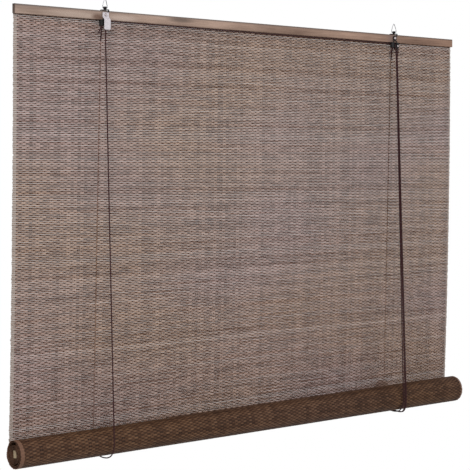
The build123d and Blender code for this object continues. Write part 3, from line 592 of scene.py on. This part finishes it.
def pull_cord(label, top, roll_x, side, *hank_nodes):
    """A pull strand down the front, and its rest: under the roll and round the hank, as one piece."""
    foot = (roll_x, FRONT_ROLL_Y, STRAND_FOOT_Z)
    front, path = strand("pull_" + label, top, foot, "pull_strand_" + label)
    y, low = HANK_Y + side * CORD_MM / 2, BIGHT_LOW_Z
    tail = [
        (roll_x, FRONT_ROLL_Y, BIGHT_TOP_Z), (roll_x, FRONT_ROLL_Y, low), (roll_x, ROLL_Y / MM, low),
        (roll_x, 18, low), (roll_x + 1, y - 3, low + 1), (roll_x + 4, y, low + 6),
        (HANK_X + 15.5, y, HANK_Z - 16),
    ]
    route = mm(*tail, *hank_turns(side))
    made, paths = cord_piece("put_away_" + label, [route], "lift", "pull_tail_" + label, *hank_nodes)
    return made, paths[0]


left_away, left_path = pull_cord("left", (408.8, REAR_Y, FRONT_TOP_Z), 402.0, -1, "pull_hank")
right_away, right_path = pull_cord("right", (407.7, FRONT_Y, FRONT_TOP_Z), 405.6, 1)

# One turn of the tie round the hank: across and depth
TIE_ROUND = (
    (-19.6, 24.2), (-9.8, 23.8), (0, 23.6), (9.8, 23.8), (19.6, 24.2), (19.8, 30), (19.8, 38),
    (19.6, 43.6), (9.8, 43.8), (0, 43.9), (-9.8, 43.8), (-19.6, 43.6), (-19.8, 38), (-19.8, 30),
)
tie_route = []
for index in range(TIE_TURNS * len(TIE_ROUND)):
    x, y = TIE_ROUND[index % len(TIE_ROUND)]
    tie_route.append((HANK_X + x, y, HANK_Z + TIE_START + TIE_PITCH * index / len(TIE_ROUND)))
tie, _ = cord_piece("hank_wrap", [mm(*tie_route)], "lift", "hank_tie", radius=TIE_RADIUS)


# ---------------------------------------------------------------- mat and roll
def waves(rows, amplitude, x):
    """A different gentle wave for each row, at the places x."""
    total = np.zeros((rows, len(x)))
    for cycles, share in ((1.7, 0.5), (5.3, 0.35), (13.0, 0.25)):
        phase = random.uniform(0, 2 * math.pi, (rows, 1))
        rate = random.uniform(0.7, 1.3, (rows, 1)) * cycles * 2 * math.pi / MAT_WIDTH
        total += share * random.uniform(0.4, 1.0, (rows, 1)) * np.sin(rate * x[None, :] + phase)
    return total * amplitude


def taper(x):
    """How much thicker or thinner than its middle the roll is at x."""
    share = (x - ROLL_LEFT) / (ROLL_RIGHT - ROLL_LEFT)
    return ROLL_TAPER_LEFT + (ROLL_TAPER_RIGHT - ROLL_TAPER_LEFT) * share


def section():
    """A stick's outline: how far out and how far up each corner is, as shares of its half sizes."""
    turns = (np.arange(STICK_SIDES) + 0.5) * 2 * math.pi / STICK_SIDES
    out = np.sign(np.cos(turns)) * np.abs(np.cos(turns)) ** STICK_SQUARENESS
    up = np.sign(np.sin(turns)) * np.abs(np.sin(turns)) ** STICK_SQUARENESS
    return out / np.abs(out).max(), up / np.abs(up).max()


def sticks(name, rows, left, right, parts, place, first_row, material, body, slot, node, insets=0.0):
    """Rows of split sticks. place(row, x, away, high) gives y and z of a point off the row's middle.

    The insets say how far in each row's ends lie. The piece comes with its rows' shape for stitches().
    """
    out, up = section()
    x = np.linspace(left, right, parts + 1)
    sway, rise = waves(rows, STICK_SWAY, x), waves(rows, STICK_RISE, x)
    size = random.uniform(*STICK_SIZES, rows)
    ends = random.normal(0, END_JITTER, (rows, 2)) + np.outer(insets * np.ones(rows), (1, -1))
    points, uvs, faces = [], [], []
    quads = ring_faces(parts + 1, STICK_SIDES).tolist()
    caps = end_faces((parts + 1) * STICK_SIDES, STICK_SIDES)
    for row in range(rows):
        stretch = np.linspace(ends[row, 0], ends[row, 1], parts + 1)
        row_x = np.repeat(x + stretch, STICK_SIDES)
        away = np.repeat(sway[row], STICK_SIDES) + np.tile(out, parts + 1) * STICK_HALF_DEPTH
        high = np.repeat(rise[row], STICK_SIDES) + np.tile(up, parts + 1) * STICK_HALF_HEIGHT * size[row]
        y, z = place(row, row_x, away, high)
        points.append(np.stack([row_x, y, z], -1))
        uvs.append(np.stack([row_x, first_row + row + 0.5 + HALF_ROW * np.tile(up, parts + 1)], -1))
        start = row * (parts + 1) * STICK_SIDES
        faces += [[corner + start for corner in face] for face in quads + caps]
    made = piece(name, np.concatenate(points), faces, np.concatenate(uvs), material, body, slot, node)
    return made, (x, sway, rise, size)


def stitches(name, rows, shape, place, side, material, body, slot):
    """Short stretches of warp thread, each over one stick on one side of the mat.

    Neighbouring threads pass over it on opposite rows, and the other side has the rows between.
    """
    x, sway, rise, size = shape
    columns = MAT_LEFT + WARP_FIRST + WARP_STEP * np.arange(WARP_COLUMNS)
    columns = columns + random.normal(0, WARP_JITTER, WARP_COLUMNS)
    profile = ((-0.95, 0.45), (0.0, 1.0), (0.95, 0.45))
    points, uvs, faces, made = [], [], [], 0
    for row in range(rows):
        spots = columns[(row + (side > 0)) % 2::2]
        spots = spots + random.normal(0, STITCH_JITTER, len(spots))
        here_sway, here_rise = np.interp(spots, x, sway[row]), np.interp(spots, x, rise[row])
        for up, out in profile:
            away = here_sway + side * (STICK_HALF_DEPTH * out + THREAD_RISE)
            high = here_rise + up * STICK_HALF_HEIGHT * size[row]
            for edge in (-0.5, 0.5):
                spots_x = spots + edge * THREAD_WIDTH
                y, z = place(row, spots_x, away, high)
                points.append(np.stack([spots_x, y, z], -1))
                uvs.append(np.stack([spots_x, np.full(len(spots), row + 0.5 + HALF_ROW * up)], -1))
        count = len(spots)
        index = np.arange(count)
        for step in range(2):
            low = made + step * 2 * count + index
            faces.append(np.stack([low, low + count, low + 3 * count, low + 2 * count], -1))
        made += 6 * count
    return piece(
        name, np.concatenate(points), np.concatenate(faces), np.concatenate(uvs), material, body, slot
    )


def in_mat(row, x, away, high):
    """A place in the hanging mat. Away counts towards the wall, high counts up."""
    drop = (row + 0.5) * STICK_STEP
    share = (drop / ROLL_DROP) ** 2
    return MAT_TOP_Y + (MAT_BOW + WINDING_RADIUS * (taper(x) - 1)) * share + away, RAIL_TOP - drop + high


mat, mat_shape = sticks(
    "mat_sticks", STICKS, MAT_LEFT, MAT_RIGHT, STICK_PARTS, in_mat, 0, FRONT_BAMBOO, "root", "bamboo", "mat"
)
front_threads = stitches("mat_threads_front", STICKS, mat_shape, in_mat, -1, THREAD, "root", "bamboo")
back_threads = stitches("mat_threads_back", STICKS, mat_shape, in_mat, 1, BACK_THREAD, "root", "bamboo")
for hanging in (mat, front_threads, back_threads):
    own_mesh(hanging)

# The rolled sticks' angles, one stick step apart along the spiral, from its outer end inwards
ROLL_ANGLES = []
roll_angle = 0.5 * STICK_STEP / WINDING_RADIUS
while WINDING_RADIUS - TURN_PITCH * roll_angle / (2 * math.pi) > LAST_RADIUS:
    ROLL_ANGLES.append(roll_angle)
    roll_angle += STICK_STEP / (WINDING_RADIUS - TURN_PITCH * roll_angle / (2 * math.pi))
OUTER = sum(angle < 2 * math.pi + OUTER_LAP for angle in ROLL_ANGLES)


def in_roll(first):
    """Gives place() for rows that start at this one of the rolled sticks. Away counts outwards."""

    def place(row, x, away, high):
        angle = ROLL_ANGLES[first + row]
        radius = (WINDING_RADIUS - TURN_PITCH * angle / (2 * math.pi)) * taper(x) + away
        y = ROLL_Y + radius * math.cos(angle) - high * math.sin(angle)
        z = ROLL_Z - radius * math.sin(angle) - high * math.cos(angle)
        return y, z

    return place


outer, outer_shape = sticks(
    "roll_outer_turn", OUTER, ROLL_LEFT, ROLL_RIGHT, STICK_PARTS, in_roll(0), STICKS,
    BACK_BAMBOO, "roll", "bamboo_back", "mat_roll",
)
# Some of the turns inside the roll lie further in at both ends
inner_turns = np.array(ROLL_ANGLES[OUTER:]) / (2 * math.pi)
sunk = np.where((inner_turns > SUNK_FROM) & (inner_turns < SUNK_TO), SUNK_BY, 0.0)
# The turns inside the roll get the bamboo with painted shade at their cut ends
sticks(
    "roll_inner_turns", len(ROLL_ANGLES) - OUTER, ROLL_LEFT, ROLL_RIGHT, INNER_STICK_PARTS, in_roll(OUTER),
    STICKS + OUTER, SHADED_INNER_BAMBOO, "roll", "bamboo_back", "mat_roll", sunk,
)
stitches("roll_threads", OUTER, outer_shape, in_roll(0), 1, BACK_THREAD, "roll", "bamboo_back")


# ---------------------------------------------------------------- wire loops
def wire_loop(side, hanger_x, turn):
    """A drop-shaped wire loop, foot in the hanger's head, turned about the upright."""
    half = ((1.2, 0), (5.1, 0), (5.2, 0.1), (5.2, 4.5), (2.9, 12.5), (1.5, 17.4))
    outline = [*half, (0, 19.6), *((-along, up) for along, up in reversed(half))]
    way = (math.cos(turn), math.sin(turn))
    route = [(hanger_x + way[0] * along, way[1] * along, up + LOOP_FOOT_Z) for along, up in outline]
    wire = tube(spline(mm(*route)), WIRE_RADIUS)
    piece(side + "_wire", *wire, WIRE, side + "_loop", "steel_wire", "hanging_loop_" + side)


wire_loop("left", LEFT_HANGER_X, 0)
wire_loop("right", RIGHT_HANGER_X, math.radians(-40))


# ---------------------------------------------------------------- hangers and sheaves
def hanger_yoke(side, x):
    """Head and stem, an arm down the back, one down the front to the eye ring, and two legs.

    Heights are above the rail's top.
    """
    top, eye_x, ring_y, back_y = RAIL_TOP / MM, x - 2.6, -5.3, 7.55
    head = [
        (2.3, 0.1), (2.3, 3.7), (3.0, 3.8), (3.6, 4.2), (3.7, 4.6), (3.7, 7.5), (3.6, 7.9), (3.0, 8.3),
        (0.6, 8.3),
    ]
    ring = [
        (1.75, -0.7), (2.2, -1.1), (5.0, -1.1), (5.5, -0.7), (5.5, 0.7), (5.0, 1.1), (2.2, 1.1), (1.75, 0.7),
    ]
    back_arm = [
        (x, 0, 1.9), (x - 5.0, 7.0, 1.9), (x - 5.4, back_y, 1.4), (x - 5.4, back_y, 0), (x - 5.4, back_y, -9),
    ]
    front_arm = [
        (x, 0, 1.9), (x + 5.0, -4.8, 1.9), (x + 5.4, ring_y, 1.2), (x + 5, ring_y, -1),
        (eye_x + 3.3, ring_y, -5.4),
    ]
    left_leg = [
        (eye_x - 1, ring_y, -11.7), (x - 9.2, FRONT_Y, -16.2), (x - 9.5, FRONT_Y, -16.6),
        (x - 9.5, FRONT_Y, -18.5),
    ]
    right_leg = [
        (eye_x + 1, ring_y, -11.7), (x + 1.6, FRONT_Y, -16.2), (x + 1.8, FRONT_Y, -16.6),
        (x + 1.8, FRONT_Y, -18.5),
    ]
    parts = [lathe((x, 0, top), True, head), lathe((eye_x, ring_y, top - 8.2), False, ring, closed=True)]
    for route, radius in ((back_arm, 1.2), (front_arm, 1.2), (left_leg, 1.0), (right_leg, 1.0)):
        parts.append(tube(spline(mm(*((a, b, top + c) for a, b, c in route))), radius * MM))
    piece("yoke_" + side, *joined(parts), BLACK, "root", "black_coating", "hanger_yoke_" + side)


hanger_yoke("left", LEFT_HANGER_X)
hanger_yoke("right", RIGHT_HANGER_X)


def grooved_wheel(label, hanger_x, y):
    """A sheave: a bored wheel with a groove for its cord, on the pin beside the hanger's middle."""
    profile = [
        (1.55, -2.0), (5.9, -2.0), (6.3, -1.75), (3.9, -0.75), (3.8, 0), (3.9, 0.75), (6.3, 1.75), (5.9, 2.0),
        (1.55, 2.0),
    ]
    wheel = lathe((hanger_x + 1.8, y, RAIL_TOP / MM - 26.2), False, profile, closed=True)
    piece(label + "_wheel", *wheel, PLASTIC, label + "_sheave", "black_plastic", "sheave_" + label)


grooved_wheel("left", LEFT_HANGER_X, FRONT_Y)
grooved_wheel("right_front", RIGHT_HANGER_X, FRONT_Y)
grooved_wheel("right_rear", RIGHT_HANGER_X, REAR_Y)


# ---------------------------------------------------------------- CAD nodes that stay
def paint(material, *names):
    """Gives CAD nodes a material and leaves their meshes as they are."""
    for name in names:
        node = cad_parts[name]
        node.data.materials.clear()
        node.data.materials.append(material)


paint(RAIL_WOOD, "head_rail")
paint(PALE_WOOD, "core_lath")
paint(STEEL, "mat_staples", "core_staples", "yoke_screws", "axle_pin_left", "axle_pin_right")
paint(BLACK, "pulley_block_left", "pulley_block_right")
paint(PAPER, "paper_tag")


# ---------------------------------------------------------------- stage
def floor():
    """A pale floor, far below."""
    half, height = 3.0, -2.05
    mesh = bpy.data.meshes.new("floor")
    corners = [(-half, -half, height), (half, -half, height), (half, half, height), (-half, half, height)]
    mesh.from_pydata(corners, [], [(0, 1, 2, 3)])
    shader = Shader("floor", 0.9)
    mesh.materials.append(shader.finish((0.82, 0.82, 0.81)))
    thing = bpy.data.objects.new("floor", mesh)
    bpy.context.scene.collection.objects.link(thing)


def lamp(name, place, aim, size, power):
    """A square area lamp that points at its aim."""
    data = bpy.data.lights.new(name, "AREA")
    data.shape = "SQUARE"
    data.size = size
    data.energy = power
    thing = bpy.data.objects.new(name, data)
    bpy.context.scene.collection.objects.link(thing)
    thing.location = place
    thing.rotation_euler = (Vector(aim) - Vector(place)).to_track_quat("-Z", "Y").to_euler()


def surroundings():
    """White to the eye, a softer grey as light."""
    world = bpy.data.worlds.new("studio")
    world.use_nodes = True
    bpy.context.scene.world = world
    nodes, links = world.node_tree.nodes, world.node_tree.links
    background = nodes["Background"]
    rays = nodes.new("ShaderNodeLightPath")
    seen = nodes.new("ShaderNodeMath")
    seen.operation = "MAXIMUM"
    links.new(rays.outputs["Is Camera Ray"], seen.inputs[0])
    links.new(rays.outputs["Is Transmission Ray"], seen.inputs[1])
    mix = nodes.new("ShaderNodeMix")
    mix.data_type = "RGBA"
    links.new(seen.outputs[0], mix.inputs[0])
    mix.inputs[6].default_value = (0.50, 0.50, 0.51, 1)
    mix.inputs[7].default_value = (1, 1, 1, 1)
    links.new(mix.outputs[2], background.inputs["Color"])


floor()
surroundings()
lamp("key", (-2.3, -2.3, 1.3), (-0.1, 0, -0.4), 1.8, 112)
lamp("fill", (1.9, -2.8, 0.2), (0, 0, -0.45), 2.0, 34)
lamp("back", (0.3, 2.4, 0.9), (0, 0, -0.4), 2.0, 30)
bpy.context.scene.view_settings.view_transform = "Standard"
